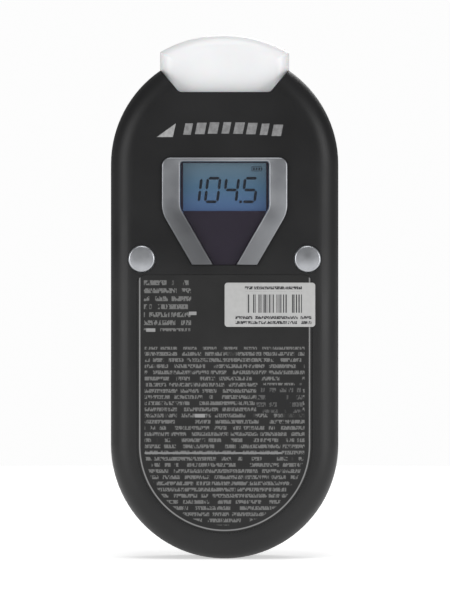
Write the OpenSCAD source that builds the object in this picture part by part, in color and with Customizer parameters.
// Pocket speed radar: a round-ended hand-held case with a radome at its upper end,
// a display and two push buttons on its face, and a battery bay at its back.
// The parts are drawn lying on the back face, with X across, Y up the length of the case
// and Z from the back to the face. stand() then turns the face to -Y and puts the origin
// at the mouth of the tripod socket.

/* [Case] */
// Width of the case
body_w = 60; // [58:0.5:72]
// Length of the case, to the full round of its upper end
body_l = 134; // [130:0.2:162]
// Thickness of the case
body_t = 30; // [30:0.5:36]
// Radius of the outer edges
edge_r = 6; // [4:0.2:7.2]
// Thickness of the case walls
wall = 2.4; // [2:0.02:2.9]
// Height of the parting line above the back
parting_z = 14; // [12:0.2:17]
// Height of the lip that locates the two shells
lip_h = 1.5; // [1:0.1:2.5]
// Thickness of that lip
lip_t = 1.1; // [0.8:0.05:1.3]
// Depth of the V-shaped groove round the joint of the two shells
seam = 0.3; // [0.1:0.05:0.5]

/* [Notch and radome] */
// Half width of the notch at its floor
notch_half = 12.1; // [10:0.1:14.5]
// Depth of the notch below the full round of the end
notch_depth = 11.2; // [9:0.1:13.4]
// Angle of the notch sides from its floor
notch_angle = 50; // [45:1:60]
// Radius between the notch floor and its sides
notch_fillet = 1.6; // [1:0.1:2.5]
// Height of the radome above the full round of the end
radome_rise = 4.2; // [2:0.1:6]
// Thickness of the radome, front to back
radome_t = 23; // [20:0.5:25]
// Thickness of the radome wall
radome_wall = 1.8; // [1.2:0.1:2.2]
// Radius of the radome edges
radome_edge = 4; // [2:0.1:5]
// Half width of the neck that passes through the notch floor
neck_half = 9.8; // [8:0.1:10]
// Front to back size of the neck
neck_t = 14; // [10:0.5:16]
// Thickness of the flange behind the notch floor
flange_t = 1.5; // [1:0.1:2]
// Reach of that flange past the neck
flange_reach = 2.4; // [1.5:0.1:2.8]

/* [Display] */
// Distance from the notch floor to the top of the display bezel
bezel_drop = 17.2; // [17:0.1:20]
// Half width of the bezel
bezel_half = 16.5; // [16:0.1:17.2]
// Height of the bezel, from its top rail to the ends of its arms
bezel_h = 28.2; // [26:0.1:28.6]
// Height of the straight upper part of the bezel
bezel_straight = 12.3; // [12.2:0.1:13]
// Radius of the bend between a side rail and its arm
bend_r = 8; // [6:0.1:9]
// Angle of the arms from the length of the case
arm_angle = 30; // [24:0.5:31]
// Width of the side rails and arms
rail_w = 4.8; // [4:0.1:4.9]
// Width of the top rail
top_rail = 1; // [0.8:0.1:1.5]
// Height of the bezel above the face
bezel_proud = 1; // [0.6:0.1:1.5]
// Depth of the recess for the bezel and window
bezel_sink = 1; // [0.8:0.1:1.2]
// Thickness of the display window
window_t = 1; // [0.8:0.1:1.2]
// Thickness of the printed mask
mask_t = 0.25; // [0.2:0.01:0.4]
// Width of the display area that shows
lcd_w = 21.8; // [18:0.1:21.8]
// Height of the display area that shows
lcd_h = 12.6; // [11:0.1:12.7]
// Width of the display glass
glass_w = 31; // [28:0.5:33]
// Height of the display glass
glass_h = 18.6; // [17:0.1:19]
// Thickness of the display glass
glass_t = 2; // [1.6:0.1:2.4]
// Radius of the bezel pegs
peg_r = 0.9; // [0.7:0.05:1.1]

/* [Buttons] */
// Radius of a button
button_r = 3.5; // [2.5:0.05:3.6]
// Distance of the button centres from the side of the case
button_inset = 8.2; // [7.6:0.1:9]
// Distance of the button centres below the top of the bezel
button_drop = 26.6; // [24:0.1:29]
// Height of a button above the face
button_proud = 1; // [0.9:0.05:1.4]
// Travel of a button
button_travel = 0.7; // [0.3:0.05:0.85]
// Width of the flange that keeps a button in
button_lip = 0.8; // [0.6:0.05:1]
// Thickness of that flange
button_lip_t = 0.8; // [0.6:0.05:1]
// Side of a square switch body
switch_w = 6; // [5:0.5:7]
// Height of a switch body
switch_h = 3.4; // [3:0.1:3.5]
// Radius of a switch plunger
plunger_r = 1.75; // [1.2:0.05:2]

/* [Labels] */
// Width left between the label plate and the side of the case
label_margin = 7; // [6.4:0.1:10]
// Distance from the top of the bezel down to the top of the label plate
label_drop = 30.8; // [30:0.1:34]
// Thickness of the label plate
label_t = 0.3; // [0.2:0.05:0.5]
// Width of the white serial label
serial_w = 24.6; // [20:0.1:25]
// Height of the white serial label
serial_h = 13.7; // [10:0.1:14]
// Thickness of the white serial label
serial_t = 0.15; // [0.1:0.01:0.2]

/* [Electronics] */
// Distance from the face to the top of the main board
board_drop = 8.9; // [8.6:0.1:9.2]
// Thickness of the boards
board_t = 1.6; // [1:0.1:1.8]
// Distance of the lower edge of the main board from the lower end
board_low = 58; // [54:0.5:62]
// Gap between the upper edge of the main board and the shield can
board_gap = 1.6; // [1.2:0.1:3]
// Half width of the antenna board
antenna_half = 17; // [15:0.5:18]
// Depth of the shield can behind the antenna board
shield_d = 5.8; // [4:0.1:6]
// Side of one antenna patch
patch = 3.2; // [2.6:0.1:4]
// Distance between antenna patches
patch_pitch = 6.2; // [5:0.1:6.5]

/* [Battery bay] */
// Diameter of a cell
cell_d = 14.5; // [12.1:0.1:14.6]
// Length of a cell
cell_l = 50.5; // [44:0.5:51]
// Length of a fitted contact spring
spring_l = 3; // [2.5:0.1:3.5]
// Distance of the bay from the lower end
bay_low = 9; // [8:0.5:11]
// Thickness of the bay walls
bay_wall = 2.2; // [2.2:0.1:2.6]
// Thickness of the bay roof
bay_roof = 1.2; // [0.8:0.1:1.4]
// Thickness of the lips that hold the door
door_lip = 1.1; // [0.9:0.05:1.2]
// Thickness of the door tongues
tongue_t = 0.8; // [0.6:0.05:0.9]
// Width of the door tongues
tongue_w = 1.2; // [0.8:0.05:1.3]
// Thickness of the foam pad on the door
pad_t = 0.4; // [0.3:0.05:0.5]

/* [Fasteners and tripod socket] */
// Radius of a case screw
screw_r = 1.25; // [1:0.05:1.4]
// Radius of a case screw head
screw_head_r = 2.3; // [2:0.05:2.4]
// Depth of a case screw head below the back
screw_sink = 1.2; // [0.8:0.1:2]
// Height of a case screw head
screw_head_h = 1.6; // [1.2:0.1:2]
// Radius of the screw bosses
boss_r = 3; // [2.8:0.05:3.2]
// Gap between the upper screw bosses and the antenna board
boss_gap = 0.9; // [0.6:0.1:1.5]
// Radius of a board screw
board_screw_r = 1; // [0.8:0.05:1.1]
// Distance of the tripod socket from the lower end
socket_y = 76; // [74:0.5:82]
// Radius of the socket thread, at its crests
socket_r = 2.55; // [2.5:0.05:4]
// Length of the threaded insert
socket_l = 8; // [6:0.5:10]
// Thickness of the insert wall
insert_wall = 2; // [1.5:0.1:2.5]

/* [Clearances] */
// Gap round pieces that are glued or clipped in
fit = 0.1; // [0.05:0.01:0.2]
// Gap round the buttons and the door
slack = 0.2; // [0.15:0.01:0.3]
// Radial gap round screws, pegs and the insert
thread_gap = 0.05; // [0.02:0.01:0.1]

/* [Hidden] */
$fn = 64;

// Case
end_r = body_w / 2;
low_c = end_r;
high_c = body_l - end_r;
in_r = end_r - wall;
in_edge = edge_r - wall;
under_z = body_t - wall;
big = 2 * body_l;
over = 1;

// Notch and radome
notch_floor = body_l - notch_depth;
notch_under = notch_floor - wall;
notch_run = cos(notch_angle) / sin(notch_angle);
fillet_back = notch_fillet * tan(notch_angle / 2);
horn_y = high_c + horn_height(notch_half, notch_floor - high_c);
horn_x = notch_half + (horn_y - notch_floor) * notch_run;
radome_r = end_r + radome_rise;
radome_z = (body_t - radome_t) / 2;
neck_z = (body_t - neck_t) / 2;
flange_y = notch_under - fit - flange_t;

// Display
bezel_top = notch_floor - bezel_drop;
bezel_low = bezel_top - bezel_h;
bend_y = bezel_top - bezel_straight;
bend_x = bezel_half - bend_r;
sink_z = body_t - bezel_sink;
lcd_top = bezel_top - top_rail - fit - 0.3;
lcd_cy = lcd_top - lcd_h / 2;
board_top = body_t - board_drop;
board_z = board_top - board_t;
glass_z = under_z - slack - glass_t;
frame_wall = 1.2;
frame_ledge = 1;
strip_w = 1.6;
peg_x = bezel_half - rail_w / 2;
peg_y = bend_y + 1.5;

// Buttons
button_x = end_r - button_inset;
button_y = bezel_top - button_drop;
lip_r = button_r + button_lip;
button_lip_z = under_z - slack - button_lip_t;
switch_z = board_top + switch_h;
plunger_z = switch_z - 0.5;

// Labels
label_top = bezel_top - label_drop;
label_r = end_r - label_margin;
serial_x = end_r - edge_r - serial_w + 0.2;
serial_y = label_top - 1 - serial_h;

// Boards
board_half = in_r - 2.2;
antenna_y = flange_y - 0.8 - board_t;
board_y1 = antenna_y - shield_d - board_gap;
antenna_z = 4.5;
antenna_h = body_t - 2 * antenna_z;
shield_half = 9;
shield_z = 8;
guide_w = 4;
guide_wall = 1.2;
post_r = 2.5;
post_x = end_r - 8.5;
post_low = board_low + 5;
post_high = board_y1 - 7;

// Battery bay
cell_x = cell_d / 2 + 0.15;
bay_half = cell_x + cell_d / 2 + 0.35;
contact_t = 0.4;
nub_l = 1;
nub_r = 2.75;
bay_high = bay_low + contact_t + spring_l + cell_l + 0.1 + contact_t + 0.05;
bay_z = door_lip + tongue_t + 2 * slack;
cell_z = bay_z + fit + cell_d / 2;
roof_z = cell_z + cell_d / 2 + 0.35;
door_half = bay_half + 0.6;
door_top = bay_high + 0.6;
door_in = bay_z - slack;
pad_half = cell_x + 3;
pad_l = 16;
pad_y = (bay_low + bay_high - pad_l) / 2;

// Screws
low_screw = [end_r - 8.5, low_c - 4];
high_screw = [end_r - 11, antenna_y - boss_gap - boss_r];
screw_depth = 8;
insert_r = socket_r + insert_wall;
socket_boss_r = insert_r + 2;

// Height, above the centre of the round end, of the point where a notch side meets the case edge
function horn_height(half, floor) =
    let(k = notch_run)
    let(c = half - k * floor)
    (-k * c + sqrt(end_r * end_r * (1 + k * k) - c * c)) / (1 + k * k);

// Points of a coil of wire, and the two sets of faces that close it
function ring_points(turn, r, wire, pitch, sides) = [
    for (k = [0 : sides - 1])
    let(a = 360 * k / sides)
    [(r + wire * cos(a)) * cos(turn), (r + wire * cos(a)) * sin(turn), pitch * turn / 360 + wire * sin(a)]
];

module stand() {
    rotate([90, 0, 0])
    translate([0, -socket_y, 0])
    children();
}

module pair_x() {
    children();
    mirror([1, 0, 0]) children();
}

// Half section of a round-edged slab: flat core, edge band and the two rounded edges
module half_profile(r, t, e) {
    square([r - e, t]);
    translate([0, e]) square([r, t - 2 * e]);
    translate([r - e, e]) circle(e);
    translate([r - e, t - e]) circle(e);
}

// Round-ended slab with round edges
module pill(r, z0, z1, e) {
    translate([0, high_c, z0])
    rotate_extrude(angle = 180)
    half_profile(r, z1 - z0, e);
    translate([0, low_c, z0])
    rotate_extrude(angle = 180, start = 180)
    half_profile(r, z1 - z0, e);
    translate([0, high_c, z0])
    rotate([90, 0, 0])
    linear_extrude(high_c - low_c)
    pair_x()
    half_profile(r, z1 - z0, e);
}

module stadium(r) {
    translate([0, high_c]) circle(r);
    translate([0, low_c]) circle(r);
    translate([-r, low_c]) square([2 * r, high_c - low_c]);
}

// Box centred across, from two corners in Y and Z
module bar(half, y0, y1, z0, z1) {
    translate([-half, y0, z0]) cube([2 * half, y1 - y0, z1 - z0]);
}

module rounded_rect(w, h, r) {
    translate([-w / 2 + r, -h / 2]) square([w - 2 * r, h]);
    translate([-w / 2, -h / 2 + r]) square([w, h - 2 * r]);
    for (x = [-1, 1], y = [-1, 1])
        translate([x * (w / 2 - r), y * (h / 2 - r)]) circle(r);
}

// Outline of the notch, drawn larger by grow
module notch_outline(grow) {
    half = notch_half + grow / sin(notch_angle) - grow * notch_run;
    floor = notch_floor - grow;
    c = half - fillet_back;
    tx = half + fillet_back * cos(notch_angle);
    ty = floor + fillet_back * sin(notch_angle);
    top = body_l + over;
    wide = half + (top - floor) * notch_run;
    polygon([[-c, floor], [c, floor], [c, floor + notch_fillet], [tx, ty], [wide, top],
        [-wide, top], [-tx, ty], [-c, floor + notch_fillet]]);
    for (side = [-1, 1])
        translate([side * c, floor + notch_fillet]) circle(notch_fillet);
}

module notch_cut() {
    translate([0, 0, -over])
    linear_extrude(body_t + 2 * over)
    notch_outline(0);
}

// Region inside the bezel's outer edge, or inside a line drawn inset from it: upright sides that bend
// round the same two centres into arms that lean inwards
module funnel(inset, low, top, corner) {
    half = bezel_half - inset;
    r = bend_r - inset;
    ex = bend_x + r * cos(arm_angle);
    ey = bend_y - r * sin(arm_angle);
    foot = ex - (ey - low) * tan(arm_angle);
    polygon([[-foot, low], [foot, low], [ex, ey], [bend_x, bend_y], [-bend_x, bend_y], [-ex, ey]]);
    for (side = [-1, 1]) {
        translate([side * bend_x, bend_y]) circle(r);
        translate([side * (half - corner), top - corner]) circle(corner);
    }
    translate([-half, bend_y]) square([2 * half, top - bend_y - corner]);
    translate([corner - half, bend_y]) square([2 * (half - corner), top - bend_y]);
}

// Outer edge of the bezel, drawn larger by grow
module bezel_outline(grow) {
    funnel(-grow, bezel_low - grow, bezel_top + grow, 2.2 + grow);
}

// Opening between the rails and arms, drawn larger by grow
module opening_outline(grow, low) {
    funnel(rail_w - grow, low, bezel_top - top_rail + grow, 0.8 + grow);
}

// Outline of the label plate, drawn larger by grow
module label_outline(grow) {
    corner = 2.5;
    r = label_r + grow;
    top = label_top + grow;
    translate([0, low_c]) circle(r);
    translate([-r, low_c]) square([2 * r, top - low_c - corner]);
    translate([corner - r, low_c]) square([2 * (r - corner), top - low_c]);
    for (side = [-1, 1])
        translate([side * (r - corner), top - corner]) circle(corner);
}

// Hollow of the case, stopped under the notch floor
module cavity() {
    intersection() {
        pill(in_r, wall, under_z, in_edge);
        bar(big, -big, notch_under, -big, big);
    }
}

// Diamond bar swept round the case at the parting line, which leaves a V-shaped groove there
module seam_cut() {
    reach = seam * sqrt(2);
    translate([0, high_c, parting_z])
    rotate_extrude(angle = 180)
    translate([end_r, 0]) rotate(45) square(reach, center = true);
    translate([0, low_c, parting_z])
    rotate_extrude(angle = 180, start = 180)
    translate([end_r, 0]) rotate(45) square(reach, center = true);
    translate([0, high_c, parting_z])
    rotate([90, 0, 0])
    linear_extrude(high_c - low_c)
    pair_x()
    translate([end_r, 0]) rotate(45) square(reach, center = true);
}

// Band just inside the wall, where the locating lip of the front shell runs
module lip_band(width, height) {
    translate([0, 0, parting_z - height])
    linear_extrude(height)
    intersection() {
        difference() {
            stadium(in_r + width);
            stadium(in_r);
        }
        translate([-big, -big]) square([2 * big, big + notch_under - 3]);
    }
}

module at_case_screws() {
    for (p = [low_screw, high_screw], side = [-1, 1])
        translate([side * p.x, p.y, 0]) children();
}

module at_posts() {
    for (y = [post_low, post_high], side = [-1, 1])
        translate([side * post_x, y, 0]) children();
}

// Opening in the notch floor for the neck of the radome
module neck_hole() {
    bar(neck_half + slack, notch_under - over, notch_floor + over, neck_z - slack, body_t - neck_z + slack);
}

// Forked rib that holds one edge of the antenna board, rising from base to tip
module card_guide(base, tip, slot_end) {
    lo = min(base, tip);
    hi = max(base, tip);
    y0 = antenna_y - fit - guide_wall;
    y1 = antenna_y + board_t + fit + guide_wall;
    pair_x()
    translate([antenna_half - guide_w + 0.5, 0, 0])
    difference() {
        translate([0, y0, lo]) cube([guide_w, y1 - y0, hi - lo]);
        translate([-over, antenna_y - fit, min(slot_end, tip + sign(tip - base))])
        cube([guide_w + 2 * over, board_t + 2 * fit, abs(tip + sign(tip - base) - slot_end)]);
    }
}

module front_shell() {
    color([0.16, 0.16, 0.16])
    stand() {
        difference() {
            intersection() {
                pill(end_r, 0, body_t, edge_r);
                bar(big, -big, big, parting_z, big);
            }
            cavity();
            notch_cut();
            neck_hole();
            seam_cut();
            translate([0, 0, sink_z]) linear_extrude(body_t) bezel_outline(fit);
            bar(lcd_w / 2 + 0.8, lcd_cy - lcd_h / 2 - 0.6, lcd_cy + lcd_h / 2 + 0.6, under_z - over, body_t);
            translate([0, 0, body_t - label_t]) linear_extrude(body_t) label_outline(fit);
            for (side = [-1, 1]) {
                translate([side * peg_x, peg_y, under_z - over])
                cylinder(r = peg_r + thread_gap, h = wall + 2 * over);
                translate([side * button_x, button_y, under_z - over])
                cylinder(r = button_r + slack, h = wall + 2 * over);
                translate([side * button_x, button_y, parting_z])
                cylinder(r = lip_r + 0.4, h = under_z - parting_z);
            }
        }
        lip_band(lip_t, lip_h);
        difference() {
            at_case_screws()
            translate([0, 0, parting_z]) cylinder(r = boss_r, h = under_z - parting_z);
            at_case_screws()
            translate([0, 0, parting_z - over])
            cylinder(r = screw_r + thread_gap, h = screw_depth + 1 + over);
        }
        card_guide(under_z, under_z - 6.6, body_t - antenna_z + fit);
    }
}

// Cross section of the door opening: wide groove for the tongues, narrower mouth at the back
module door_opening() {
    bar(door_half, -over, door_top + slack, -over, door_lip + over);
    bar(door_half - slack + tongue_w + slack, -over, door_top + slack, door_lip, bay_z);
}

// Walls, ends and roof round the cells
module bay_box() {
    y0 = bay_low - bay_wall;
    y1 = bay_high + bay_wall;
    intersection() {
        difference() {
            bar(bay_half + bay_wall, y0, y1, wall / 2, roof_z + bay_roof);
            bar(bay_half, bay_low, bay_high, 0, roof_z);
            pair_x()
            translate([cell_x - 1.2, bay_high - contact_t - 0.15, roof_z - over])
            cube([2.4, contact_t + 0.15, bay_roof + 2 * over]);
        }
        union() {
            intersection() {
                pill(end_r - wall / 2, wall / 2, body_t - wall / 2, edge_r - wall / 2);
                bar(big, -big, big, -big, parting_z - lip_h - 2 * fit);
            }
            linear_extrude(body_t) stadium(in_r - fit);
        }
    }
}

module back_shell() {
    color([0.14, 0.14, 0.14])
    stand()
    difference() {
        union() {
            difference() {
                intersection() {
                    pill(end_r, 0, body_t, edge_r);
                    bar(big, -big, big, -big, parting_z);
                }
                cavity();
                notch_cut();
                neck_hole();
                seam_cut();
                lip_band(lip_t + fit, lip_h + fit);
                bar(bay_half, bay_low, bay_high, -over, parting_z);
            }
            bay_box();
            at_posts()
            translate([0, 0, wall / 2]) cylinder(r = post_r, h = board_z - wall / 2);
            at_case_screws()
            translate([0, 0, wall / 2]) cylinder(r = boss_r, h = parting_z - wall / 2);
            translate([0, socket_y, wall / 2]) cylinder(r = socket_boss_r, h = socket_l + 1.5 - wall / 2);
            card_guide(wall, wall + 6.6, antenna_z - fit);
        }
        door_opening();
        at_case_screws() {
            translate([0, 0, -over])
            cylinder(r = screw_head_r + slack, h = screw_sink + screw_head_h + over);
            translate([0, 0, -over])
            cylinder(r = screw_r + thread_gap, h = parting_z + 2 * over);
        }
        at_posts()
        translate([0, 0, board_z - 6]) cylinder(r = board_screw_r + thread_gap, h = 6 + over);
        translate([0, socket_y, -over])
        cylinder(r = insert_r + thread_gap, h = socket_l + over);
    }
}

// Solid of the radome above the notch floor, drawn smaller by inset
module radome_form(inset) {
    r = radome_r - inset;
    t = radome_t - 2 * inset;
    e = radome_edge - inset;
    intersection() {
        translate([0, high_c, radome_z + inset])
        rotate_extrude(angle = 180)
        half_profile(r, t, e);
        translate([0, body_l + 2 * radome_rise, radome_z + inset + t / 2])
        rotate([90, 0, 0])
        linear_extrude(big)
        rounded_rect(2 * (horn_x - inset), t, e);
        linear_extrude(body_t) {
            notch_outline(-inset - slack);
            translate([-horn_x, horn_y + inset / 2]) square([2 * horn_x, big]);
        }
    }
}

module radome() {
    color([0.93, 0.94, 0.95])
    stand()
    difference() {
        union() {
            radome_form(0);
            bar(neck_half, flange_y, notch_floor + 2 * slack, neck_z, body_t - neck_z);
            bar(neck_half + flange_reach, flange_y, flange_y + flange_t,
                neck_z - flange_reach, body_t - neck_z + flange_reach);
        }
        radome_form(radome_wall);
        bar(neck_half - radome_wall, flange_y - over, notch_floor + 2 * radome_wall,
            neck_z + radome_wall, body_t - neck_z - radome_wall);
    }
}

module display_bezel() {
    color([0.75, 0.76, 0.78])
    stand() {
        difference() {
            translate([0, 0, sink_z]) linear_extrude(bezel_sink + bezel_proud) bezel_outline(0);
            translate([0, 0, sink_z - over])
            linear_extrude(bezel_sink + bezel_proud + 2 * over)
            opening_outline(0, bezel_low - over);
        }
        for (side = [-1, 1])
            translate([side * peg_x, peg_y, under_z + 0.2]) cylinder(r = peg_r, h = sink_z - under_z - 0.2);
    }
}

module display_window() {
    color([0.72, 0.8, 0.86, 0.35])
    stand()
    translate([0, 0, sink_z + mask_t]) linear_extrude(window_t) opening_outline(-fit, bezel_low);
}

module display_mask() {
    color([0.12, 0.11, 0.14])
    stand()
    translate([0, 0, sink_z]) linear_extrude(mask_t)
    difference() {
        opening_outline(-fit, bezel_low);
        translate([-lcd_w / 2, lcd_cy - lcd_h / 2]) square([lcd_w, lcd_h]);
    }
}

module label_plate() {
    color([0.25, 0.25, 0.25])
    stand()
    translate([0, 0, body_t - label_t]) linear_extrude(label_t) label_outline(0);
}

module serial_label() {
    color([0.93, 0.93, 0.92])
    stand()
    translate([serial_x + serial_w / 2, serial_y + serial_h / 2, body_t])
    linear_extrude(serial_t)
    rounded_rect(serial_w, serial_h, 0.8);
}

// Round cap with a domed top and a keeping flange
module button_cap() {
    crown = 0.5;
    top = body_t + button_proud;
    ball = (button_r * button_r + crown * crown) / (2 * crown);
    translate([0, 0, button_lip_z]) cylinder(r = lip_r, h = button_lip_t);
    intersection() {
        translate([0, 0, button_lip_z]) cylinder(r = button_r, h = top - button_lip_z);
        translate([0, 0, top - ball]) sphere(ball, $fn = 96);
    }
}

module plunger() {
    translate([0, 0, plunger_z - button_travel]) cylinder(r = plunger_r, h = button_lip_z - plunger_z + button_travel);
}

module power_button() {
    color([0.82, 0.83, 0.84])
    stand()
    translate([-button_x, button_y, 0]) button_cap();
}

module measure_button() {
    color([0.82, 0.83, 0.84])
    stand()
    translate([button_x, button_y, 0]) button_cap();
}

module power_plunger() {
    color([0.1, 0.1, 0.1])
    stand()
    translate([-button_x, button_y, 0]) plunger();
}

module measure_plunger() {
    color([0.1, 0.1, 0.1])
    stand()
    translate([button_x, button_y, 0]) plunger();
}

module switch_bodies() {
    floor = 0.6;
    color([0.6, 0.61, 0.63])
    stand()
    for (side = [-1, 1])
        translate([side * button_x, button_y, 0])
        difference() {
            translate([-switch_w / 2, -switch_w / 2, board_top]) cube([switch_w, switch_w, switch_h]);
            translate([0, 0, board_top + floor]) cylinder(r = plunger_r + slack, h = switch_h);
        }
}

module main_board() {
    color([0.08, 0.32, 0.18])
    stand()
    difference() {
        translate([0, (board_low + board_y1) / 2, board_z])
        linear_extrude(board_t)
        rounded_rect(2 * board_half, board_y1 - board_low, 3);
        at_posts()
        translate([0, 0, board_z - over]) cylinder(r = board_screw_r + slack, h = board_t + 2 * over);
    }
}

module lcd_panel() {
    color([0.45, 0.55, 0.62])
    stand()
    translate([-glass_w / 2, lcd_cy - glass_h / 2, glass_z]) cube([glass_w, glass_h, glass_t]);
}

// Open frame that carries the glass on a ledge, above the connector strips and the light guide
module lcd_frame() {
    w = glass_w + 2 * fit;
    h = glass_h + 2 * fit;
    color([0.9, 0.9, 0.88])
    stand()
    difference() {
        bar(w / 2 + frame_wall, lcd_cy - h / 2 - frame_wall, lcd_cy + h / 2 + frame_wall,
            board_top, glass_z + glass_t - 0.4);
        bar(w / 2, lcd_cy - h / 2, lcd_cy + h / 2, glass_z, body_t);
        bar(w / 2 - frame_ledge, lcd_cy - h / 2 + 0.3, lcd_cy + h / 2 - 0.3, board_top - over, body_t);
    }
}

module lcd_backlight() {
    half = glass_h / 2 - 0.5 - strip_w - 0.6;
    color([0.75, 0.85, 0.95])
    stand()
    bar(glass_w / 2 - 2, lcd_cy - half, lcd_cy + half, board_top, glass_z - fit);
}

module lcd_connectors() {
    color([0.3, 0.3, 0.32])
    stand()
    for (side = [-1, 1])
        translate([-glass_w / 2 + 2, lcd_cy + side * (glass_h / 2 - 0.5 - strip_w / 2) - strip_w / 2, board_top])
        cube([glass_w - 4, strip_w, glass_z - board_top]);
}

module processor() {
    color([0.06, 0.06, 0.07])
    stand()
    translate([0, board_low + 14, board_top])
    linear_extrude(1.4)
    rounded_rect(10, 10, 0.4);
}

module board_chips() {
    color([0.07, 0.07, 0.08])
    stand() {
        translate([-12, board_low + 20, board_top]) linear_extrude(1.5) rounded_rect(5, 4, 0.2);
        translate([-12, board_low + 12, board_top]) linear_extrude(1.5) rounded_rect(6, 5, 0.2);
        translate([12, board_low + 13, board_top]) linear_extrude(1.2) rounded_rect(5, 5, 0.2);
    }
}

module capacitors() {
    color([0.7, 0.7, 0.72])
    stand()
    for (k = [0 : 2])
        translate([10 + 5.2 * (k - 1), board_low + 5, board_top]) cylinder(r = 2, h = 4.8);
}

module link_header() {
    color([0.08, 0.08, 0.08])
    stand()
    bar(6, board_y1 - 3, antenna_y - shield_d, board_z - 2.6, board_z);
}

module board_screws() {
    color([0.78, 0.78, 0.8])
    stand()
    at_posts() {
        translate([0, 0, board_z - 5]) cylinder(r = board_screw_r, h = 5 + board_t);
        difference() {
            translate([0, 0, board_top]) cylinder(r = 1.9, h = 1.3);
            translate([0, 0, board_top + 0.6]) cross(1.1, 0.5, 1);
        }
    }
}

// Cross slot of a screw head
module cross(reach, width, depth) {
    translate([-reach, -width / 2, 0]) cube([2 * reach, width, depth]);
    translate([-width / 2, -reach, 0]) cube([width, 2 * reach, depth]);
}

module antenna_board() {
    color([0.1, 0.35, 0.2])
    stand()
    bar(antenna_half, antenna_y, antenna_y + board_t, antenna_z, antenna_z + antenna_h);
}

module antenna_patches() {
    foil = 0.1;
    color([0.85, 0.6, 0.35])
    stand()
    for (i = [-1.5 : 1 : 1.5], k = [-1 : 1])
        translate([i * patch_pitch - patch / 2, antenna_y + board_t, body_t / 2 + k * patch_pitch - patch / 2])
        cube([patch, foil, patch]);
}

module rf_shield() {
    tin = 0.5;
    y0 = antenna_y - shield_d;
    color([0.8, 0.8, 0.82])
    stand()
    difference() {
        bar(shield_half, y0, antenna_y, shield_z, body_t - shield_z);
        bar(shield_half - tin, y0 + tin, antenna_y + over, shield_z + tin, body_t - shield_z - tin);
    }
}

module tripod_insert() {
    color([0.8, 0.62, 0.3])
    stand()
    translate([0, socket_y, 0])
    difference() {
        cylinder(r = insert_r, h = socket_l);
        translate([0, 0, -over]) cylinder(r = socket_r, h = socket_l + 2 * over);
    }
}

module case_screws() {
    color([0.2, 0.2, 0.21])
    stand()
    at_case_screws() {
        difference() {
            translate([0, 0, screw_sink]) cylinder(r = screw_head_r, h = screw_head_h);
            translate([0, 0, screw_sink - over]) cross(1.4, 0.6, 0.8 + over);
        }
        translate([0, 0, screw_sink + screw_head_h])
        cylinder(r = screw_r, h = parting_z + screw_depth - screw_sink - screw_head_h);
    }
}

// Sliding door: its outside follows the case, and its tongues run in the grooves of the back shell
module battery_door() {
    grip_w = 1.2;
    half = door_half - slack;
    color([0.14, 0.14, 0.14])
    stand()
    difference() {
        intersection() {
            pill(end_r, 0, body_t, edge_r);
            union() {
                bar(half, -over, door_top, -over, door_in);
                bar(half + tongue_w - slack, -over, door_top, door_lip + slack, door_in);
            }
        }
        for (k = [0 : 5])
            bar(8, door_top - 18 + 2 * grip_w * k, door_top - 18 + 2 * grip_w * k + grip_w, -over, 0.5);
        bar(pad_half, pad_y, pad_y + pad_l, door_in - pad_t, door_in + over);
    }
}

module door_pad() {
    color([0.2, 0.2, 0.22])
    stand()
    bar(pad_half, pad_y, pad_y + pad_l, door_in - pad_t, door_in);
}

// Cell along Y: body with its nub at the far end
module cell() {
    rotate([-90, 0, 0]) {
        cylinder(r = cell_d / 2, h = cell_l - nub_l);
        cylinder(r = nub_r, h = cell_l);
    }
}

module cell_left() {
    color([0.2, 0.3, 0.55])
    stand()
    translate([-cell_x, bay_low + contact_t + spring_l, cell_z]) cell();
}

module cell_right() {
    color([0.2, 0.3, 0.55])
    stand()
    translate([cell_x, bay_high - contact_t - 0.05 - spring_l, cell_z]) rotate([0, 0, 180]) cell();
}

// Coil of wire standing on Z, from wire centre to wire centre
module coil(r, wire, length, turns) {
    sides = 8;
    steps = 20;
    rings = turns * steps;
    pitch = length / turns;
    points = [for (i = [0 : rings]) each ring_points(360 * i / steps, r, wire, pitch, sides)];
    walls = [for (i = [0 : rings - 1], k = [0 : sides - 1])
        [i * sides + k, i * sides + (k + 1) % sides, (i + 1) * sides + (k + 1) % sides, (i + 1) * sides + k]];
    first = [for (k = [0 : sides - 1]) sides - 1 - k];
    last = [for (k = [0 : sides - 1]) rings * sides + k];
    polyhedron(points, concat([first], walls, [last]));
}

module cell_springs() {
    wire = 0.3;
    length = spring_l - 2 * wire;
    color([0.8, 0.8, 0.82])
    stand() {
        translate([-cell_x, bay_low + contact_t + wire, cell_z])
        rotate([-90, 0, 0]) coil(3.4, wire, length, 3);
        translate([cell_x, bay_high - contact_t - 0.05 - wire, cell_z])
        rotate([90, 0, 0]) coil(3.4, wire, length, 3);
    }
}

module top_contacts() {
    color([0.8, 0.78, 0.7])
    stand()
    pair_x() {
        translate([cell_x - 4.5, bay_high - contact_t - 0.05, cell_z - 4.5]) cube([9, contact_t, 9]);
        translate([cell_x - 1, bay_high - contact_t - 0.05, cell_z]) cube([2, contact_t, board_z - cell_z]);
    }
}

module bridge_contact() {
    color([0.8, 0.78, 0.7])
    stand()
    bar(cell_x + 4.5, bay_low, bay_low + contact_t, cell_z - 4.5, cell_z + 4.5);
}

front_shell();
back_shell();
radome();
display_bezel();
display_window();
display_mask();
label_plate();
serial_label();
power_button();
measure_button();
power_plunger();
measure_plunger();
switch_bodies();
main_board();
lcd_panel();
lcd_frame();
lcd_backlight();
lcd_connectors();
processor();
board_chips();
capacitors();
link_header();
board_screws();
antenna_board();
antenna_patches();
rf_shield();
tripod_insert();
case_screws();
battery_door();
door_pad();
cell_left();
cell_right();
cell_springs();
top_contacts();
bridge_contact();
